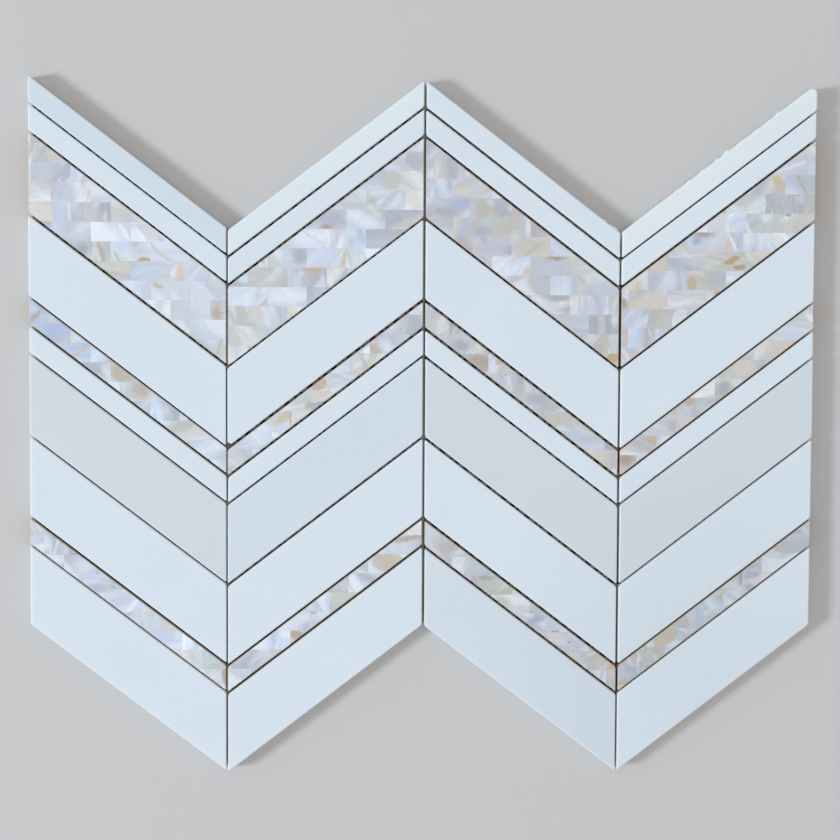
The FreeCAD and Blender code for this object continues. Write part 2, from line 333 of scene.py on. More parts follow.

# The marks of this sheet's shell, listed one by one: tone, softness of the rim, place on the sheet,
# half length and half width in millimetres, and turn in degrees. Each one stays on the chip that
# holds its place.
# Marks in the tones of painted glints and painted sheen are painted highlights, not the shell's colour
SHELL_MARKS = (
    # Row 3, column 1
    ("lavender", 0.5, -180.5, 119.0, 6.1, 5.1, 0),
    ("painted_sheen", 0.6, -173.5, 119.0, 5.6, 2.3, -58),
    ("pale_blue", 0.8, -183.0, 109.0, 5.1, 2.0, 90),
    ("painted_sheen", 0.4, -178.5, 109.0, 5.1, 1.3, 90),
    ("white", 0.6, -158.5, 98.5, 9.2, 4.6, 0),
    ("flash", 0.6, -151.0, 98.5, 5.6, 0.9, -60),
    ("pink", 0.6, -140.5, 99.0, 5.6, 1.0, -58),
    ("flash", 0.6, -143.5, 97.5, 5.6, 1.0, -58),
    ("slate", 0.9, -172.5, 90.0, 3.6, 3.1, 0),
    ("tan", 0.6, -163.0, 89.0, 5.6, 1.3, -72),
    ("gold", 0.4, -155.0, 86.5, 4.1, 0.6, -58),
    ("ochre", 0.12, -141.1, 84.6, 3.6, 1.9, 0),
    ("apricot", 0.7, -123.5, 78.5, 5.1, 2.0, 90),
    ("pale_blue", 0.8, -136.0, 79.0, 4.6, 2.0, 80),
    ("gold", 0.5, -134.5, 72.0, 2.5, 1.3, -10),
    ("tan", 0.8, -105.0, 58.0, 5.1, 2.5, 90),
    # Row 3, column 2
    ("olive", 0.3, -17.0, 125.5, 4.6, 5.1, 0),
    ("mauve", 0.6, -5.5, 135.5, 6.1, 4.6, 0),
    ("cream", 0.7, -5.5, 116.0, 5.6, 4.1, -30),
    ("khaki", 0.6, -27.0, 116.0, 4.1, 1.5, -55),
    ("mauve", 0.8, -47.0, 106.5, 7.1, 5.1, 0),
    ("brown", 0.9, -50.0, 102.0, 2.5, 1.5, 0),
    ("white", 0.4, -30.0, 105.5, 9.2, 4.1, -25),
    ("cream", 0.5, -25.0, 109.5, 4.1, 1.0, -35),
    ("white", 0.4, -58.0, 96.5, 10.2, 5.1, 0),
    ("silver", 0.7, -57.0, 97.0, 8.1, 0.6, -32),
    ("pink_grey", 0.6, -45.0, 96.5, 5.1, 1.5, 70),
    ("slate", 0.8, -63.0, 87.0, 4.6, 4.6, 0),
    ("pale_blue", 0.7, -70.5, 87.0, 4.1, 2.0, 90),
    ("pale_blue", 0.5, -50.5, 87.0, 10.2, 4.6, 0),
    ("gold", 0.35, -41.0, 86.5, 4.6, 1.0, 80),
    ("gold", 0.35, -56.0, 80.5, 4.1, 2.0, -15),
    ("painted_sheen", 0.7, -48.0, 75.5, 3.1, 1.3, 90),
    ("white", 0.3, -69.0, 67.5, 10.2, 5.1, 0),
    ("pearl", 0.5, -71.0, 67.5, 7.1, 0.8, -42),
    # Row 3, column 3
    ("blue", 0.7, 17.5, 114.5, 6.6, 3.1, 0),
    ("mauve", 0.8, 10.0, 110.5, 4.6, 2.0, 0),
    ("olive", 0.4, 29.0, 112.0, 4.1, 4.6, 0),
    ("mauve", 0.5, 38.5, 112.5, 4.1, 4.6, 0),
    ("rose", 0.4, 47.0, 111.0, 4.6, 3.6, 0),
    ("blue", 0.6, 20.5, 103.5, 5.1, 3.1, 60),
    ("mauve", 0.7, 29.5, 100.5, 4.1, 2.0, 0),
    ("khaki", 0.6, 41.5, 102.5, 6.6, 4.1, 40),
    ("flash", 0.5, 52.5, 102.0, 4.6, 1.0, 90),
    ("rose", 0.4, 57.5, 101.0, 5.1, 4.1, 0),
    ("rose", 0.5, 19.0, 93.5, 4.6, 4.1, 0),
    ("lavender", 0.7, 36.0, 93.0, 7.1, 4.1, 0),
    ("khaki", 0.6, 53.5, 93.0, 9.2, 4.6, 0),
    ("olive", 0.6, 55.0, 91.5, 6.6, 1.0, 35),
    ("white", 0.5, 37.5, 83.0, 3.6, 4.6, 0),
    ("apricot", 0.8, 52.5, 80.0, 2.0, 2.5, 0),
    ("lavender", 0.4, 63.5, 82.5, 9.2, 4.6, 0),
    ("brown", 0.8, 67.0, 87.5, 4.1, 1.5, 0),
    ("gold", 0.5, 79.5, 76.5, 3.1, 0.5, -45),
    ("painted_sheen", 0.9, 70.0, 64.0, 2.0, 1.3, 20),
    ("painted_sheen", 0.9, 75.0, 64.5, 1.5, 1.5, 0),
    ("flash", 0.8, 97.0, 55.5, 3.1, 1.5, 90),
    ("ochre", 0.1, 96.5, 36.5, 3.6, 2.5, 10),
    # Row 3, column 4
    ("gold", 0.6, 180.5, 126.0, 5.1, 2.5, -60),
    ("brown", 0.3, 185.5, 109.5, 1.8, 0.9, 0),
    ("flash", 0.8, 174.0, 108.5, 2.5, 2.0, 0),
    ("flash", 0.6, 165.0, 102.5, 4.1, 1.0, 110),
    ("brown", 0.9, 142.0, 100.0, 4.6, 2.0, 0),
    ("slate", 0.9, 138.5, 96.5, 2.5, 2.0, 0),
    ("apricot", 0.6, 154.5, 93.5, 4.1, 1.3, 100),
    ("flash", 0.5, 157.5, 95.0, 5.1, 0.8, -65),
    ("ochre", 0.1, 157.0, 86.5, 4.6, 1.5, 28),
    ("ochre", 0.15, 161.0, 83.0, 3.1, 1.5, 5),
    ("gold", 0.12, 136.5, 74.5, 3.6, 2.5, 95),
    ("ochre", 0.3, 149.5, 69.5, 2.0, 1.3, 30),
    ("red_brown", 0.5, 101.5, 64.5, 3.1, 2.0, 120),
    ("cream", 0.5, 115.0, 65.0, 9.2, 4.1, 15),
    ("apricot", 0.3, 103.5, 46.5, 5.1, 1.0, 90),
    ("white", 0.7, 112.0, 76.0, 4.6, 2.0, 90),
    ("cream", 0.4, 120.0, 84.5, 4.6, 3.6, 0),
    ("pale_blue", 0.6, 132.0, 76.0, 5.1, 1.5, 100),
    # Row 5, column 1
    ("tan", 0.5, -196.0, 56.5, 4.1, 1.3, 50),
    ("blue", 0.7, -188.0, 49.5, 8.1, 4.1, 0),
    ("cream", 0.6, -177.5, 47.0, 4.1, 1.5, 90),
    ("apricot", 0.5, -173.0, 39.0, 4.6, 0.8, 28),
    ("tan", 0.4, -153.5, 27.5, 6.1, 4.6, -30),
    ("tan", 0.7, -143.5, 19.5, 4.6, 4.6, 0),
    ("white", 0.5, -134.0, 8.5, 5.1, 2.0, 100),
    ("white", 0.5, -165.0, 36.5, 5.1, 3.6, 0),
    # Row 5, column 2
    ("tan", 0.6, -26.5, 41.0, 4.1, 2.5, -30),
    ("white", 0.6, -19.0, 41.5, 4.1, 2.5, -60),
    ("olive", 0.6, -30.5, 34.0, 5.1, 0.9, -62),
    ("tan", 0.15, -54.0, 23.5, 4.6, 4.1, 0),
    ("tan", 0.7, -58.5, 12.0, 2.5, 1.3, 50),
    ("gold", 0.4, -71.0, 5.5, 5.6, 2.5, 35),
    ("ochre", 0.3, -67.5, 4.0, 4.6, 0.8, 90),
    ("pale_blue", 0.4, -71.5, 1.5, 3.6, 2.0, 30),
    ("white", 0.6, -84.0, -5.5, 8.1, 4.6, 0),
    ("painted_sheen", 0.6, -85.5, -4.5, 4.6, 0.8, -50),
    # Row 5, column 3
    ("slate", 0.9, 19.0, 42.5, 4.1, 2.5, 0),
    ("tan", 0.15, 27.5, 33.0, 6.1, 4.6, 0),
    ("gold", 0.15, 38.0, 34.0, 1.8, 1.8, 0),
    ("gold", 0.5, 42.5, 28.0, 3.1, 0.6, 25),
    ("mauve", 0.8, 60.5, 14.0, 7.1, 4.1, -15),
    ("khaki", 0.3, 66.5, 4.5, 4.1, 3.6, 0),
    ("apricot", 0.8, 75.0, 5.0, 1.5, 1.0, 0),
    ("cream", 0.5, 83.0, 0.0, 1.5, 1.5, 0),
    # Row 5, column 4
    ("cream", 0.6, 183.0, 41.5, 7.1, 4.6, 0),
    ("cream", 0.4, 164.0, 32.0, 6.1, 4.6, 0),
    ("slate", 0.9, 154.0, 22.0, 3.1, 3.1, 0),
    ("tan", 0.5, 136.0, 14.5, 3.1, 2.0, 0),
    ("pink", 0.3, 134.5, 4.0, 4.1, 3.6, 0),
    ("gold", 0.7, 117.0, -5.5, 3.1, 2.0, -20),
    ("red_brown", 0.6, 103.5, -15.0, 4.1, 3.6, 0),
    ("white", 0.3, 109.5, -14.5, 2.5, 0.8, 100),
    # Row 9, column 1
    ("brown", 0.6, -177.0, -64.0, 2.0, 1.0, -35),
    ("white", 0.6, -172.0, -70.0, 5.1, 4.6, 0),
    ("lavender", 0.5, -132.5, -106.0, 6.6, 3.1, -25),
    ("painted_sheen", 0.6, -122.0, -109.5, 4.1, 1.5, 90),
    ("brown", 0.4, -101.0, -126.5, 4.6, 2.0, 90),
    # Row 9, column 2
    ("tan", 0.5, -8.0, -56.0, 8.1, 1.5, 12),
    ("cream_tan", 0.2, -18.0, -68.0, 8.1, 5.1, 0),
    ("mauve", 0.7, -28.0, -76.5, 6.6, 2.5, -20),
    ("khaki", 0.3, -41.0, -87.5, 6.6, 4.6, 0),
    ("slate", 0.8, -56.5, -93.5, 2.0, 1.5, 0),
    ("red_brown", 0.4, -64.5, -105.5, 3.6, 2.5, 0),
    ("pale_blue", 0.6, -48.5, -88.5, 4.6, 1.5, 90),
    ("flash", 0.8, -70.5, -104.0, 3.1, 2.0, -45),
    # Row 9, column 3
    ("rose", 0.5, 12.0, -61.0, 5.1, 4.1, 0),
    ("pink", 0.6, 21.5, -70.0, 3.6, 1.5, 60),
    ("lavender", 0.6, 29.0, -70.5, 4.6, 3.1, 0),
    ("tan", 0.6, 32.5, -76.5, 3.6, 1.0, -5),
    ("khaki", 0.6, 40.5, -89.0, 4.6, 3.1, -30),
    ("slate", 0.8, 58.0, -98.0, 4.6, 2.5, 20),
    ("ochre", 0.4, 68.0, -104.0, 2.0, 0.5, 0),
    ("black", 0.5, 75.0, -109.5, 1.3, 0.3, 52),
    ("apricot", 0.6, 97.5, -122.5, 2.0, 1.8, 0),
    ("pale_blue", 0.6, 79.5, -111.0, 4.1, 3.6, 0),
    # Row 9, column 4
    ("khaki", 0.3, 183.5, -61.0, 3.1, 2.0, 30),
    ("teal", 0.6, 164.5, -76.0, 4.1, 1.5, 75),
    ("gold", 0.8, 154.5, -86.0, 2.5, 2.0, 30),
    ("cream_tan", 0.2, 125.0, -107.0, 7.1, 4.1, 35),
    ("flash", 0.5, 111.0, -119.0, 3.1, 0.8, 90),
    ("slate", 0.8, 115.0, -122.5, 2.5, 1.5, -20),
    ("apricot", 0.7, 103.0, -131.5, 3.1, 2.0, 50),
)


class Graph:
    """A material's node tree around one Principled shader, with a short call for each kind of node."""

    def __init__(self, name):
        self.material = bpy.data.materials.new(name)
        self.material.use_nodes = True
        self.tree = self.material.node_tree
        self.tree.nodes.clear()
        output = self.tree.nodes.new("ShaderNodeOutputMaterial")
        self.shader = self.tree.nodes.new("ShaderNodeBsdfPrincipled")
        self.tree.links.new(self.shader.outputs["BSDF"], output.inputs["Surface"])

    def put(self, socket, value):
        """Link a node's output to a socket, or write a plain value on it."""
        if isinstance(value, bpy.types.NodeSocket):
            self.tree.links.new(value, socket)
        elif socket.type == "VECTOR":
            socket.default_value = value[:3]
        else:
            socket.default_value = value

    def add(self, kind, output=0, inputs=None, **settings):
        """A new node with its settings and inputs. Returns one of its outputs."""
        node = self.tree.nodes.new(kind)
        for key, value in settings.items():
            setattr(node, key, value)
        for key, value in (inputs or {}).items():
            self.put(node.inputs[key], value)
        return node.outputs[output]

    def surface(self, **values):
        """Sockets of the shader by name, with spaces as underscores."""
        for key, value in values.items():
            self.put(self.shader.inputs[key.replace("_", " ")], value)

    def sum(self, a, b):
        return self.add("ShaderNodeMath", operation="ADD", inputs={0: a, 1: b})

    def product(self, a, b):
        return self.add("ShaderNodeMath", operation="MULTIPLY", inputs={0: a, 1: b})

    def difference(self, a, b):
        return self.add("ShaderNodeMath", operation="SUBTRACT", inputs={0: a, 1: b})

    def ratio(self, a, b):
        return self.add("ShaderNodeMath", operation="DIVIDE", inputs={0: a, 1: b})

    def size(self, a):
        return self.add("ShaderNodeMath", operation="ABSOLUTE", inputs={0: a})

    def level(self, base, *parts):
        """A base level with noises added to it, each by its share."""
        for value, share in parts:
            base = self.sum(base, self.product(value, share))
        return base

    def shift(self, place, offset):
        return self.add("ShaderNodeVectorMath", operation="ADD", inputs={0: place, 1: offset})

    def spread(self, luck, reach):
        """An offset sideways and in depth, as far as a value from 0 to 1 says."""
        return self.add(
            "ShaderNodeCombineXYZ",
            inputs={"X": self.product(luck, reach[0]), "Z": self.product(luck, reach[1])},
        )

    def scaled(self, place, factors):
        return self.add("ShaderNodeVectorMath", operation="MULTIPLY", inputs={0: place, 1: factors})

    def distance(self, a, b):
        return self.add("ShaderNodeVectorMath", "Value", operation="DISTANCE", inputs={0: a, 1: b})

    def step(self, value, low, high, to_low=0.0, to_high=1.0):
        """A smooth step from one level to another."""
        return self.add(
            "ShaderNodeMapRange",
            interpolation_type="SMOOTHSTEP",
            inputs={"Value": value, "From Min": low, "From Max": high, "To Min": to_low, "To Max": to_high},
        )

    def soft_edge(self, value, edge, softness):
        """A step at an edge, as wide each way as the softness. A negative softness steps down."""
        return self.step(value, self.difference(edge, softness), self.sum(edge, softness))

    def oval(self, place, middle, turn, scale, softness):
        """How far an oval with a soft rim covers a place. The scale is 1 over its half sizes."""
        offset = self.add("ShaderNodeVectorMath", operation="SUBTRACT", inputs={0: place, 1: middle})
        turned = self.add(
            "ShaderNodeVectorRotate", rotation_type="Z_AXIS", inputs={"Vector": offset, "Angle": turn}
        )
        reach = self.add(
            "ShaderNodeVectorMath", "Value", operation="LENGTH", inputs={0: self.scaled(turned, scale)}
        )
        return self.step(reach, self.sum(1.0, softness), self.difference(1.0, softness))

    def hump(self, value, middle, half_width):
        """1 at the middle, and 0 half a width to either side."""
        return self.step(self.size(self.difference(value, middle)), half_width, 0.0)

    def split(self, vector):
        """The three parts of a vector."""
        parts = self.tree.nodes.new("ShaderNodeSeparateXYZ")
        self.put(parts.inputs[0], vector)
        return parts.outputs

    def noise(self, place, scale, detail, roughness=0.5, distortion=0.0):
        """Cloudy values from 0 to 1. The scale is in cycles to the millimetre."""
        return self.add(
            "ShaderNodeTexNoise",
            inputs={
                "Vector": place,
                "Scale": scale,
                "Detail": detail,
                "Roughness": roughness,
                "Distortion": distortion,
            },
        )

    def mix(self, share, a, b):
        """A colour between two."""
        node = self.tree.nodes.new("ShaderNodeMix")
        node.data_type = "RGBA"
        self.put(node.inputs[0], share)
        self.put(node.inputs[6], a)
        self.put(node.inputs[7], b)
        return node.outputs[2]

    def brighten(self, colour, factor):
        """A colour times a plain factor."""
        return self.add("ShaderNodeVectorMath", operation="SCALE", inputs={0: colour, "Scale": factor})

    def attribute(self, name, output="Fac"):
        return self.add("ShaderNodeAttribute", output, attribute_name=name)

    def bump(self, height, strength, distance):
        return self.add(
            "ShaderNodeBump", inputs={"Height": height, "Strength": strength, "Distance": distance}
        )

    def place(self):
        """The point on the sheet, in millimetres."""
        return self.brighten(self.add("ShaderNodeTexCoord", "Object"), 1 / MM)

    def add_painted_shade(self, colour):
        """A colour with painted shade worked in: darker towards the lower right corner of the sheet."""
        off = self.distance(self.place(), (*PAINTED_SHADE_MIDDLE, FACE_HEIGHT / MM))
        return self.brighten(colour, self.step(off, PAINTED_SHADE_REACH, 0.0, 1.0, 1.0 - PAINTED_SHADE_SHARE))

    def upness(self):
        """How far the surface faces up: 1 on the face, 0 on the sides, -1 on the back."""
        return self.split(self.add("ShaderNodeNewGeometry", "True Normal"))["Z"]


def slab_place(graph):
    """Millimetres on the slab that the strip was sawn from: every strip comes from elsewhere on it."""
    luck = graph.add("ShaderNodeObjectInfo", "Random")
    return graph.shift(graph.place(), graph.spread(luck, SLAB_SPREAD))


def marble_material(name, tone):
    """Fine white marble: polished on the face, sawn on the sides, with adhesive on its back."""
    graph = Graph(name)
    place = slab_place(graph)
    cloud = graph.noise(place, *MARBLE_CLOUD)
    mottle = graph.noise(place, *MARBLE_MOTTLE)
    grain = graph.noise(place, *MARBLE_GRAIN)
    level = graph.level(0.955, (cloud, 0.05), (mottle, 0.03), (grain, 0.02))
    cast = graph.add("ShaderNodeObjectInfo", "Color")
    # The face gets the painted shade of the lower right corner
    face = graph.add_painted_shade(graph.scaled(graph.brighten(tone, level), cast))
    strokes = graph.noise(graph.scaled(place, SAW_STRETCH), *SAW_STROKES)
    side = graph.brighten(SAWN_SIDE, graph.level(0.85, (strokes, 0.3)))
    patches = graph.step(graph.noise(graph.place(), *ADHESIVE_PATCHES), 0.46, 0.56, 0.0, 0.75)
    back = graph.product(graph.step(graph.upness(), -0.6, -0.9), patches)
    side = graph.mix(back, side, ADHESIVE)
    polish = graph.step(graph.upness(), 0.1, 0.4)
    graph.surface(
        Base_Color=graph.mix(polish, side, face),
        Roughness=graph.step(polish, 0.0, 1.0, 0.75, 0.3),
        Subsurface_Weight=0.35,
        Subsurface_Radius=(1.0, 0.9, 0.8),
        Subsurface_Scale=2.5 * MM,
        Normal=graph.bump(graph.mix(polish, strokes, grain), 0.25, 0.05 * MM),
    )
    return graph.material


def ceramic_material():
    """The tan unglazed backing under the chips."""
    graph = Graph("tan_ceramic")
    place = graph.place()
    mottle = graph.noise(place, *CERAMIC_MOTTLE)
    specks = graph.step(graph.noise(place, *CERAMIC_SPECKS), 0.62, 0.72)
    colour = graph.brighten(CERAMIC, graph.level(0.85, (mottle, 0.3)))
    colour = graph.mix(graph.product(specks, 0.35), colour, CERAMIC_SPECK)
    graph.surface(Base_Color=colour, Roughness=0.85, Normal=graph.bump(mottle, 0.4, 0.15 * MM))
    return graph.material


def yarn_material():
    """Glass yarn stiffened with resin."""
    graph = Graph("glass_yarn")
    place = graph.place()
    warps = graph.noise(graph.scaled(place, WARP_STRETCH), *YARN_FIBRES)
    wefts = graph.noise(graph.scaled(place, WEFT_STRETCH), *YARN_FIBRES)
    threads = graph.product(graph.sum(warps, wefts), 0.5)
    graph.surface(
        Base_Color=graph.brighten(YARN, graph.level(0.7, (threads, 0.6))),
        Roughness=0.45,
        # Painted light: the yarn glows a little, though it is no lamp
        Emission_Color=YARN,
        Emission_Strength=YARN_PAINTED_GLOW,
        Normal=graph.bump(threads, 0.5, 0.05 * MM),
    )
    return graph.material


def layer_tones(graph, broad):
    """Three broad tones with soft borders that follow the growth layers."""
    edges = graph.split(graph.attribute("chip_edges", "Vector"))
    tones = [graph.attribute(name, "Color") for name in ("chip_tone", "chip_second", "chip_third")]
    colour = graph.mix(graph.soft_edge(broad, edges[0], edges[2]), tones[0], tones[1])
    return graph.mix(graph.soft_edge(broad, edges[1], edges[2]), colour, tones[2])


def add_drift(graph, colour, own):
    """A slow drift of hue, as from layers at other depths."""
    drift = graph.noise(graph.shift(own, DRIFT_OFFSET), *SHELL_DRIFT)
    colour = graph.mix(graph.step(drift, 0.52, 0.75, 0.0, 0.35), colour, WARM_DRIFT)
    return graph.mix(graph.step(drift, 0.48, 0.25, 0.0, 0.35), colour, COLD_DRIFT)


def add_veils(graph, colour, own, depth, seed):
    """Pale and grey veils, broad and soft, that lie along the layers and bend a little."""
    along = graph.add("ShaderNodeCombineXYZ", inputs={"X": graph.product(depth, VEIL_PACE), "Y": seed})
    folds = graph.noise(graph.shift(along, graph.scaled(own, VEIL_BEND)), *SHELL_VEILS)
    colour = graph.mix(graph.step(folds, 0.5, 0.73, 0.0, 0.68), colour, PALE_VEIL)
    return graph.mix(graph.step(folds, 0.5, 0.27, 0.0, 0.65), colour, GREY_VEIL)


def growth_streaks(graph, own, depth, ripple, seed):
    """Fine streaks along the growth layers."""
    run = graph.sum(depth, graph.product(ripple, 0.5))
    along = graph.add("ShaderNodeCombineXYZ", inputs={"X": run, "Y": seed})
    return graph.noise(graph.shift(along, graph.scaled(own, STREAK_BEND)), *SHELL_STREAKS)


def add_line(graph, colour, depth, ripple):
    """A thin line along one layer."""
    line = graph.split(graph.attribute("chip_line", "Vector"))
    off = graph.size(graph.difference(graph.sum(depth, ripple), line[0]))
    share = graph.product(graph.soft_edge(off, line[1], -LINE_SOFTNESS), line[2])
    return graph.mix(share, colour, graph.attribute("chip_line_tone", "Color"))


def add_painted_glint(graph, colour, broad):
    """A painted glint along one layer: a bright highlight, warm on one side and cold on the other."""
    flash = graph.split(graph.attribute("chip_flash", "Vector"))
    across = graph.ratio(graph.difference(broad, flash[0]), flash[1])
    bands = ((-1.0, 0.9, PAINTED_GLINT_WARM_RIM), (1.0, 0.9, PAINTED_GLINT_COLD_RIM), (0.0, 1.0, PAINTED_GLINT_CORE))
    for middle, half_width, tone in bands:
        share = graph.product(graph.hump(across, middle, half_width), flash[2])
        colour = graph.mix(share, colour, tone)
    return colour


def add_marks(graph, colour, place, own, level):
    """Ovals of other tones, with a ragged rim."""
    scale, detail = MARK_RAG
    rag = graph.add("ShaderNodeTexNoise", "Color", inputs={"Vector": own, "Scale": scale, "Detail": detail})
    ragged = graph.shift(place, graph.scaled(graph.shift(rag, (-0.5, -0.5, -0.5)), RAG_REACH))
    for number in range(MARKS_PER_CHIP):
        nature = graph.split(graph.attribute(f"mark_{number}_nature", "Vector"))
        middle = graph.attribute(f"mark_{number}_place", "Vector")
        scale = graph.attribute(f"mark_{number}_scale", "Vector")
        cover = graph.oval(ragged, middle, nature[0], scale, nature[1])
        tone = graph.brighten(graph.attribute(f"mark_{number}_tone", "Color"), level)
        colour = graph.mix(graph.product(cover, nature[2]), colour, tone)
    return colour


def nacre_material():
    """Mother-of-pearl. A chip is cut across growth layers, which show as arcs round a far centre:
    its tones, veils, streaks, thin line and painted glint all follow them. Ovals of other tones lie
    over them, some of them painted glints and sheen."""
    graph = Graph("mother_of_pearl")
    place = graph.place()
    seed = graph.attribute("chip_seed")
    own = graph.shift(place, graph.spread(seed, SHELL_SPREAD))
    wobble = graph.product(graph.difference(graph.noise(own, *SHELL_WOBBLE), 0.5), WOBBLE_REACH)
    ripple = graph.product(graph.difference(graph.noise(own, *SHELL_RIPPLE), 0.5), RIPPLE_REACH)
    depth = graph.distance(place, graph.attribute("chip_centre", "Vector"))
    depth = graph.difference(depth, graph.attribute("chip_radius"))
    broad = graph.sum(depth, graph.sum(wobble, ripple))
    streaks = growth_streaks(graph, own, depth, ripple, seed)
    level = graph.level(0.845, (streaks, 0.13), (graph.noise(own, *SHELL_MOTTLE), 0.18))

    colour = layer_tones(graph, broad)
    colour = add_drift(graph, colour, own)
    colour = add_veils(graph, colour, own, depth, seed)
    colour = graph.brighten(colour, level)
    colour = add_line(graph, colour, depth, ripple)
    # Painted highlight: a bright glint along one layer
    colour = add_painted_glint(graph, colour, broad)
    colour = add_marks(graph, colour, place, own, level)
    # The chips get their strip's cast and the painted shade of the lower right corner
    colour = graph.add_painted_shade(graph.scaled(colour, graph.attribute("chip_cast", "Vector")))
    colour = graph.mix(graph.step(graph.upness(), 0.9, 0.6, 0.0, 0.7), colour, SHELL_SIDE)
    graph.surface(Base_Color=colour, Roughness=0.24, Normal=graph.bump(streaks, 0.1, 0.05 * MM))
    return graph.material


def floor_material():
    """A plain pale board with a faint tooth, with painted shade: dark where the sheet lies on it and just
    round it.
    """
    graph = Graph("pale_floor")
    tooth = graph.noise(graph.place(), *FLOOR_TOOTH)
    # Painted shade: the less of the room a point of the floor sees, the darker it is drawn
    open_share = graph.add("ShaderNodeAmbientOcclusion", "AO", samples=8, inputs={"Distance": FLOOR_SHADE_REACH})
    pale = graph.brighten(FLOOR, graph.level(0.99, (tooth, 0.02)))
    graph.surface(
        Base_Color=graph.mix(graph.step(open_share, 0.1, 0.45), FLOOR_PAINTED_SHADE, pale),
        Roughness=0.9,
        Specular_IOR_Level=0.1,
    )
    return graph.material


def solids_of(node_name, underneath=False):
    """The separate solids of a node, each as the outline of its top face, counterclockwise. Or, from
    underneath, of its bottom face."""
    shape = bmesh.new()
    shape.from_mesh(nodes[node_name].data)
    bmesh.ops.remove_doubles(shape, verts=shape.verts, dist=SAME_POINT)
    bmesh.ops.dissolve_limit(shape, angle_limit=FLAT_ANGLE, verts=shape.verts, edges=shape.edges)
    side = -1 if underneath else 1
    farthest = max(vert.co.z * side for vert in shape.verts)
    outlines = []
    for face in shape.faces:
        is_level = face.normal.z * side > STRAIGHT
        if is_level and face.calc_center_median().z * side > farthest - SAME_PLACE:
            outlines.append([vert.co.copy() for vert in face.verts][::side])
    shape.free()
    return sorted(outlines, key=lambda outline: (outline[0].y, outline[0].x))


def offset_outline(outline, move):
    """A convex outline with each side moved out by what move says of its start and direction."""
    lines = []
    for number, start in enumerate(outline):
        along = (outline[(number + 1) % len(outline)] - start).normalized()
        outward = Vector((along.y, -along.x, 0))
        lines.append((start + outward * move(start, outward), along))
    corners = []
    for number, (point, along) in enumerate(lines):
        before, before_along = lines[number - 1]
        turn = before_along.x * along.y - before_along.y * along.x
        gap = point - before
        reach = (gap.x * along.y - gap.y * along.x) / turn
        corners.append(before + before_along * reach)
    return corners


def stack_rings(rings, vertices, faces):
    """Add a solid to a mesh in the making, from closed rings of equally many points."""
    first = len(vertices)
    count = len(rings[0])
    for ring in rings:
        vertices.extend(ring)
    faces.append([first + number for number in reversed(range(count))])
    for level in range(len(rings) - 1):
        low = first + level * count
        for number in range(count):
            beside = (number + 1) % count
            faces.append([low + number, low + beside, low + count + beside, low + count + number])
    faces.append([first + (len(rings) - 1) * count + number for number in range(count)])


def keeps_sides(outline, inner):
    """Whether every side of the inner outline still runs the same way as the outer one's."""
    for number, start in enumerate(outline):
        beside = (number + 1) % len(outline)
        if (inner[beside] - inner[number]).dot(outline[beside] - start) <= 0:
            return False
    return True


def holds(outline, x, y):
    """Whether a point lies inside a convex outline."""
    for number, start in enumerate(outline):
        along = outline[(number + 1) % len(outline)] - start
        if along.x * (y - start.y) - along.y * (x - start.x) < 0:
            return False
    return True


def at_height(outline, height):
    """An outline's corners, all at one height."""
    return [Vector((corner.x, corner.y, height)) for corner in outline]


def shell_cast(node_name):
    """How light and how warm a strip of shell is, from the row and column that its name gives."""
    words = node_name.split("_")
    return SHELL_CAST[int(words[-3]), int(words[-1])]


def build_chips(node_name, chance):
    """The chips of one strip: each is a flat prism with its own tones, eased where it was sawn."""
    outlines = solids_of(node_name)
    run = [corner.x for outline in outlines for corner in outline]
    ends = (min(run), max(run))

    def is_seam(start, outward):
        """Whether a chip's side lies against another chip, and not on the strip's sawn outline."""
        if abs(outward.y) > STRAIGHT:
            return True
        return abs(outward.x) > STRAIGHT and min(abs(start.x - end) for end in ends) > SAME_PLACE

    def moved(outline, seam_move, sawn_move):
        """An outline with its seams moved out by one length and its sawn sides by another."""
        return offset_outline(
            outline, lambda start, outward: seam_move if is_seam(start, outward) else sawn_move
        )

    vertices = []
    faces = []
    records = []
    for outline in outlines:
        grown = moved(outline, SEAM_CLOSING, 0.0)
        arris = CHIP_ARRIS
        inner = moved(grown, 0.0, -arris)
        while not keeps_sides(grown, inner):
            arris /= 2
            inner = moved(grown, 0.0, -arris)
        rings = [
            at_height(grown, FACE_HEIGHT - CHIP_THICKNESS),
            at_height(grown, FACE_HEIGHT - arris),
            at_height(inner, FACE_HEIGHT),
        ]
        stack_rings(rings, vertices, faces)
        records.append((grown, len(outline) * len(rings)))
    mesh = bpy.data.meshes.new(node_name.replace("shell_chips", "pearl_chips"))
    mesh.from_pydata(vertices, [], faces)
    mesh.update()
    paint_chips(mesh, records, shell_cast(node_name), chance)
    return mesh


def pick_tones(chance):
    """Three tones of shell that lie near each other, the common ones more often."""
    names = list(SHELL_TONES)
    weights = [SHELL_TONES[name][1] for name in names]
    first = names.index(chance.choices(names, weights)[0])
    second = first + chance.choice(SECOND_TONE_STEPS)
    third = second + chance.choice(THIRD_TONE_STEPS)
    return [SHELL_TONES[names[number % len(names)]][0] for number in (first, second, third)]


def write_layer(mesh, name, kind, values):
    """A named value on every point of a mesh."""
    layer = mesh.attributes.new(name, kind, "POINT")
    field = {"FLOAT_VECTOR": "vector", "FLOAT_COLOR": "color", "FLOAT": "value"}[kind]
    flat = [number for value in values for number in (value if kind != "FLOAT" else (value,))]
    layer.data.foreach_set(field, flat)


def place_on_face(x, y):
    """A point of the polished face, in millimetres."""
    return Vector((x, y, FACE_HEIGHT / MM))


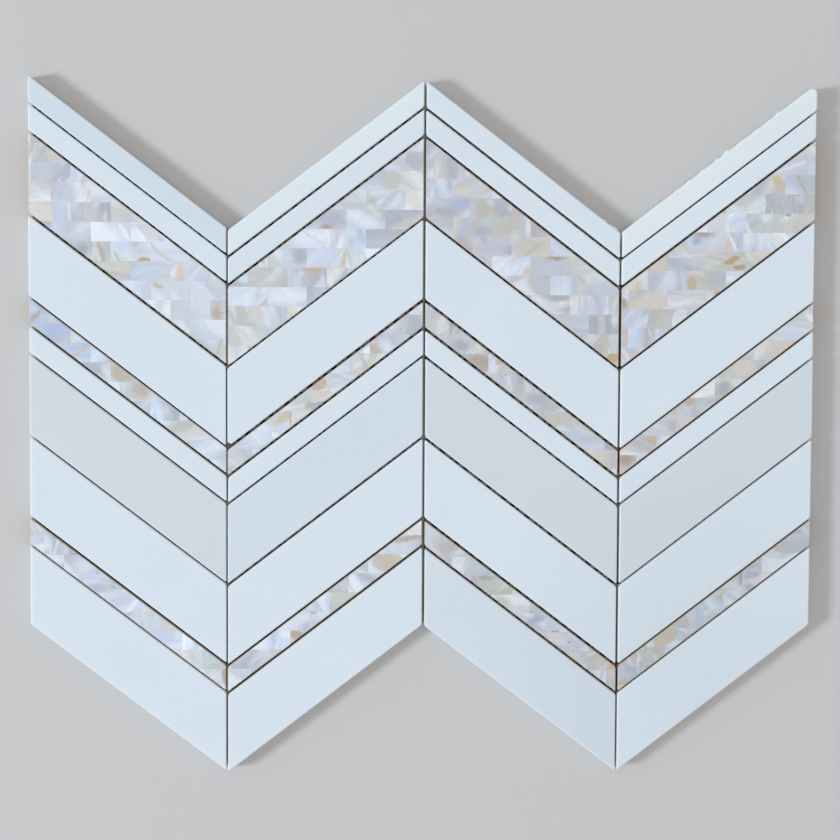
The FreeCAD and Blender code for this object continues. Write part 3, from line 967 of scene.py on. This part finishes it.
def chip_look(middle, cast, chance):
    """The tones, arcs, line and painted glint of one chip, with places in millimetres."""
    heading = chance.uniform(0, math.tau)
    radius = chance.choice(LAYER_RADII)
    first = chance.uniform(*FIRST_BORDER)
    tones = pick_tones(chance)
    line_strength = chance.uniform(*LINE_STRENGTH) if chance.random() < LINE_CHANCE else 0.0
    painted_glint_strength = chance.uniform(*PAINTED_GLINT_STRENGTH) if chance.random() < PAINTED_GLINT_CHANCE else 0.0
    lightness = cast[0] * chance.uniform(*CHIP_LIGHTNESS)
    return {
        "chip_centre": place_on_face(
            middle.x / MM + math.cos(heading) * radius, middle.y / MM + math.sin(heading) * radius
        ),
        "chip_radius": radius,
        "chip_seed": chance.random(),
        "chip_cast": (lightness * (1 + cast[1]), lightness, lightness * (1 - cast[1])),
        "chip_tone": tones[0],
        "chip_second": tones[1],
        "chip_third": tones[2],
        "chip_edges": (first, first + chance.uniform(*BORDER_GAP), chance.choice(BORDER_SOFTNESS)),
        "chip_line": (chance.uniform(*LINE_PLACE), chance.uniform(*LINE_HALF_WIDTH), line_strength),
        "chip_line_tone": MARK_TONES[chance.choice(LINE_TONES)],
        "chip_flash": (chance.uniform(*PAINTED_GLINT_PLACE), chance.uniform(*PAINTED_GLINT_HALF_WIDTH), painted_glint_strength),
    }


def mark_look(number, mark):
    """One oval of a chip. Without a mark, one that covers nothing."""
    tone_name, softness, x, y, half_length, half_width, turn = mark or NO_MARK
    cover = MARK_COVER if mark else 0.0
    # Painted glints and sheen, and white marks, get a lighter cover and a softer rim
    if tone_name in GLEAMS:
        softness = min(SOFTEST_RIM, softness + GLEAM_SOFTENING)
        cover = GLEAM_COVER
    return {
        f"mark_{number}_nature": (-math.radians(turn), softness, cover),
        f"mark_{number}_place": place_on_face(x, y),
        f"mark_{number}_scale": (1 / half_length, 1 / half_width, 0.0),
        f"mark_{number}_tone": MARK_TONES[tone_name],
    }


def layer_kind(value):
    """The kind of layer that holds a value."""
    if isinstance(value, float):
        return "FLOAT"
    return "FLOAT_VECTOR" if len(value) == 3 else "FLOAT_COLOR"


def paint_chips(mesh, records, cast, chance):
    """Write each chip's look on its points."""
    layers = {}
    for outline, count in records:
        middle = sum(outline, Vector()) / len(outline)
        look = chip_look(middle, cast, chance)
        marks = [mark for mark in SHELL_MARKS if holds(outline, mark[2] * MM, mark[3] * MM)]
        for number in range(MARKS_PER_CHIP):
            look.update(mark_look(number, marks[number] if number < len(marks) else None))
        for name, value in look.items():
            layers.setdefault(name, []).extend([value] * count)
    for name, values in layers.items():
        write_layer(mesh, name, layer_kind(values[0]), values)


def divided(outline, side, count):
    """An outline with one of its sides cut into equal lengths."""
    start, end = outline[side], outline[(side + 1) % len(outline)]
    cuts = [start.lerp(end, number / count) for number in range(count)]
    return outline[:side] + cuts + outline[side + 1 :]


def roughness(bumps, x, depth):
    """How far a rough edge stands out at a place along it and a depth below the face."""
    out = 0.0
    for middle, height, half_length in bumps:
        away = (x - middle) / half_length
        out += height * max(0.0, 1 - away * away) ** 1.5
    if bumps[0][0] - GRIT_RUN_ON[0] < x < bumps[-1][0] + GRIT_RUN_ON[1]:
        grit = noise.fractal((x * GRIT_PACE[0], depth * GRIT_PACE[1], 0), 1.0, 2.0, 3)
        out += GRIT_HEIGHT * max(0.0, GRIT_SHARE + grit)
    uneven = noise.noise((x * UNEVEN_PACE[0], depth * UNEVEN_PACE[1], 5))
    return out * (1 + UNEVENNESS * uneven)


def build_rough_strip(node_name):
    """A marble strip whose top edge was left rough."""
    outline = solids_of(node_name, underneath=True)[0]
    inner = offset_outline(outline, lambda start, outward: -STRIP_ARRIS * MM)
    sides = [outline[(number + 1) % len(outline)] - start for number, start in enumerate(outline)]
    side = min(range(len(outline)), key=lambda number: sides[number].x)
    along = sides[side].normalized()
    outward = Vector((along.y, -along.x, 0))
    bumps = ROUGH_EDGES[node_name]["bumps"]
    outer_ring = divided(outline, side, ROUGH_STEPS)
    inner_ring = divided(inner, side, ROUGH_STEPS)
    rings = [outer_ring]
    for depth, share in ROUGH_EDGES[node_name]["levels"]:
        ring = at_height(outer_ring if depth else inner_ring, FACE_HEIGHT - depth * MM)
        for number in range(side + 1, side + ROUGH_STEPS):
            ring[number] += outward * (roughness(bumps, ring[number].x / MM, depth) * share * MM)
        rings.append(ring)
    vertices = []
    faces = []
    stack_rings(rings, vertices, faces)
    mesh = bpy.data.meshes.new(node_name.replace("marble", "rough_marble"))
    mesh.from_pydata(vertices, [], faces)
    return mesh


def yarn_section(run, number, half_width):
    """The section of a yarn at a place along it: how far each corner lies across, and how high, from
    -1 to 1. No two yarns swell and sway alike."""
    swell = noise.noise((run * SWELLS_PER_METRE, number, 3))
    width = half_width * (1 - YARN_WANDER + YARN_WANDER * swell)
    sway = half_width * YARN_WANDER * noise.noise((run * SWAYS_PER_METRE, number, 8))
    corners = []
    for corner in range(YARN_SIDES):
        angle = math.tau * corner / YARN_SIDES
        off = math.copysign(abs(math.cos(angle)) ** YARN_SQUARENESS, math.cos(angle)) * width
        corners.append((sway + off, math.sin(angle)))
    return corners


def build_yarns(node_name):
    """The strands of one direction of the net, as flat yarns with round flanks that wander a little."""
    lowest, highest = (corner.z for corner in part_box(node_name))
    middle_height = (lowest + highest) / 2
    half_thickness = (highest - lowest) / 2
    upright = node_name == "net_warp"
    vertices = []
    faces = []
    for number, outline in enumerate(solids_of(node_name)):
        spread = sorted(point.y if upright else point.x for point in outline)
        across = [point.x if upright else point.y for point in outline]
        middle = (min(across) + max(across)) / 2
        half_width = (max(across) - min(across)) / 2
        half_count = len(spread) // 2
        start = sum(spread[:half_count]) / half_count
        end = sum(spread[half_count:]) / (len(spread) - half_count)
        steps = max(2, round((end - start) / YARN_STEP))
        rings = []
        for step in range(steps + 1):
            run = start + (end - start) * step / steps
            ring = []
            for off, rise in yarn_section(run, number, half_width):
                height = middle_height + rise * half_thickness
                side = middle + off
                ring.append(Vector((side, run, height)) if upright else Vector((run, side, height)))
            rings.append(ring[::-1] if upright else ring)
        stack_rings(rings, vertices, faces)
    mesh = bpy.data.meshes.new(node_name.replace("net", "yarns"))
    mesh.from_pydata(vertices, [], faces)
    for polygon in mesh.polygons:
        polygon.use_smooth = True
    return mesh


def put_in_scene(name, data):
    """A new object of the scene."""
    item = bpy.data.objects.new(name, data)
    bpy.context.scene.collection.objects.link(item)
    return item


def cast_piece(piece, node_name):
    """Give a piece the cast of its strip, which its material reads."""
    piece.color = (*MARBLE_CAST.get(node_name, (1, 1, 1)), 1)


def add_piece(mesh, material, node_name):
    """Put a modelled piece in the place of a node."""
    mesh.materials.append(material)
    piece = put_in_scene(mesh.name, mesh)
    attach(piece, "root")
    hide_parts(node_name)
    cast_piece(piece, node_name)


def dress(node_name, material):
    """Give a node that keeps its shape its material, and soften its edges a little."""
    piece = nodes[node_name]
    cast_piece(piece, node_name)
    piece.data.materials.clear()
    piece.data.materials.append(material)
    weld = piece.modifiers.new("weld", "WELD")
    weld.merge_threshold = SAME_POINT
    flat = piece.modifiers.new("flat", "DECIMATE")
    flat.decimate_type = "DISSOLVE"
    flat.angle_limit = FLAT_ANGLE
    bevel = piece.modifiers.new("bevel", "BEVEL")
    bevel.width = EDGE_SOFTENING
    bevel.segments = 2
    bevel.limit_method = "ANGLE"
    bevel.angle_limit = SHARP_ANGLE


def build_sheet():
    """Every piece of the sheet with its finish."""
    white = marble_material("white_marble", WHITE_MARBLE)
    grey = marble_material("grey_marble", GREY_MARBLE)
    for name in MARBLE_NODES:
        if name in ROUGH_EDGES:
            add_piece(build_rough_strip(name), white, name)
        else:
            dress(name, grey if "row_07" in name else white)
    ceramic = ceramic_material()
    for name in BASE_NODES:
        dress(name, ceramic)
    yarn = yarn_material()
    for name in NET_NODES:
        add_piece(build_yarns(name), yarn, name)
    nacre = nacre_material()
    chance = random.Random(SHELL_SEED)
    for name in CHIP_NODES:
        add_piece(build_chips(name, chance), nacre, name)


def build_floor():
    """The plain floor that the sheet lies on."""
    mesh = bpy.data.meshes.new("floor")
    half = FLOOR_SIDE / 2
    corners = [(-half, -half, 0), (half, -half, 0), (half, half, 0), (-half, half, 0)]
    mesh.from_pydata(corners, [], [(0, 1, 2, 3)])
    mesh.materials.append(floor_material())
    put_in_scene("floor", mesh)


def build_camera():
    """A long lens over the sheet, tilted and turned as the photograph's was."""
    lens = bpy.data.cameras.new("camera")
    lens.sensor_width = SENSOR_WIDTH
    lens.lens = PIXELS_PER_METRE * CAMERA_DISTANCE * SENSOR_WIDTH / PHOTO_SIDE
    lens.clip_start, lens.clip_end = CAMERA_REACH
    camera = put_in_scene("camera", lens)
    turn = (
        Matrix.Rotation(math.radians(CAMERA_ROLL), 4, "Z")
        @ Matrix.Rotation(math.radians(CAMERA_YAW), 4, "Y")
        @ Matrix.Rotation(math.radians(CAMERA_TILT), 4, "X")
    )
    to_camera = Matrix.Translation((*CAMERA_OFFSET, -CAMERA_DISTANCE)) @ turn
    camera.matrix_world = (to_camera @ Matrix.Translation((0, 0, -FACE_HEIGHT))).inverted()
    bpy.context.scene.camera = camera


def build_light():
    """One soft lamp from the left and an even room."""
    lamp = bpy.data.lights.new("key", "AREA")
    lamp.shape = "DISK"
    lamp.size = KEY_WIDTH
    lamp.energy = KEY_POWER
    lamp.color = KEY_TINT
    key = put_in_scene("key", lamp)
    heading = math.radians(KEY_HEADING)
    elevation = math.radians(KEY_ELEVATION)
    towards_lamp = Vector(
        (
            math.cos(elevation) * math.cos(heading),
            math.cos(elevation) * math.sin(heading),
            math.sin(elevation),
        )
    )
    key.location = towards_lamp * KEY_DISTANCE
    key.rotation_euler = towards_lamp.to_track_quat("Z", "Y").to_euler()
    world = bpy.data.worlds.new("room")
    world.use_nodes = True
    background = world.node_tree.nodes["Background"]
    background.inputs["Color"].default_value = (*ROOM_TINT, 1)
    background.inputs["Strength"].default_value = ROOM_STRENGTH
    bpy.context.scene.world = world


build_sheet()
build_floor()
build_camera()
build_light()
bpy.context.scene.view_settings.view_transform = "Standard"
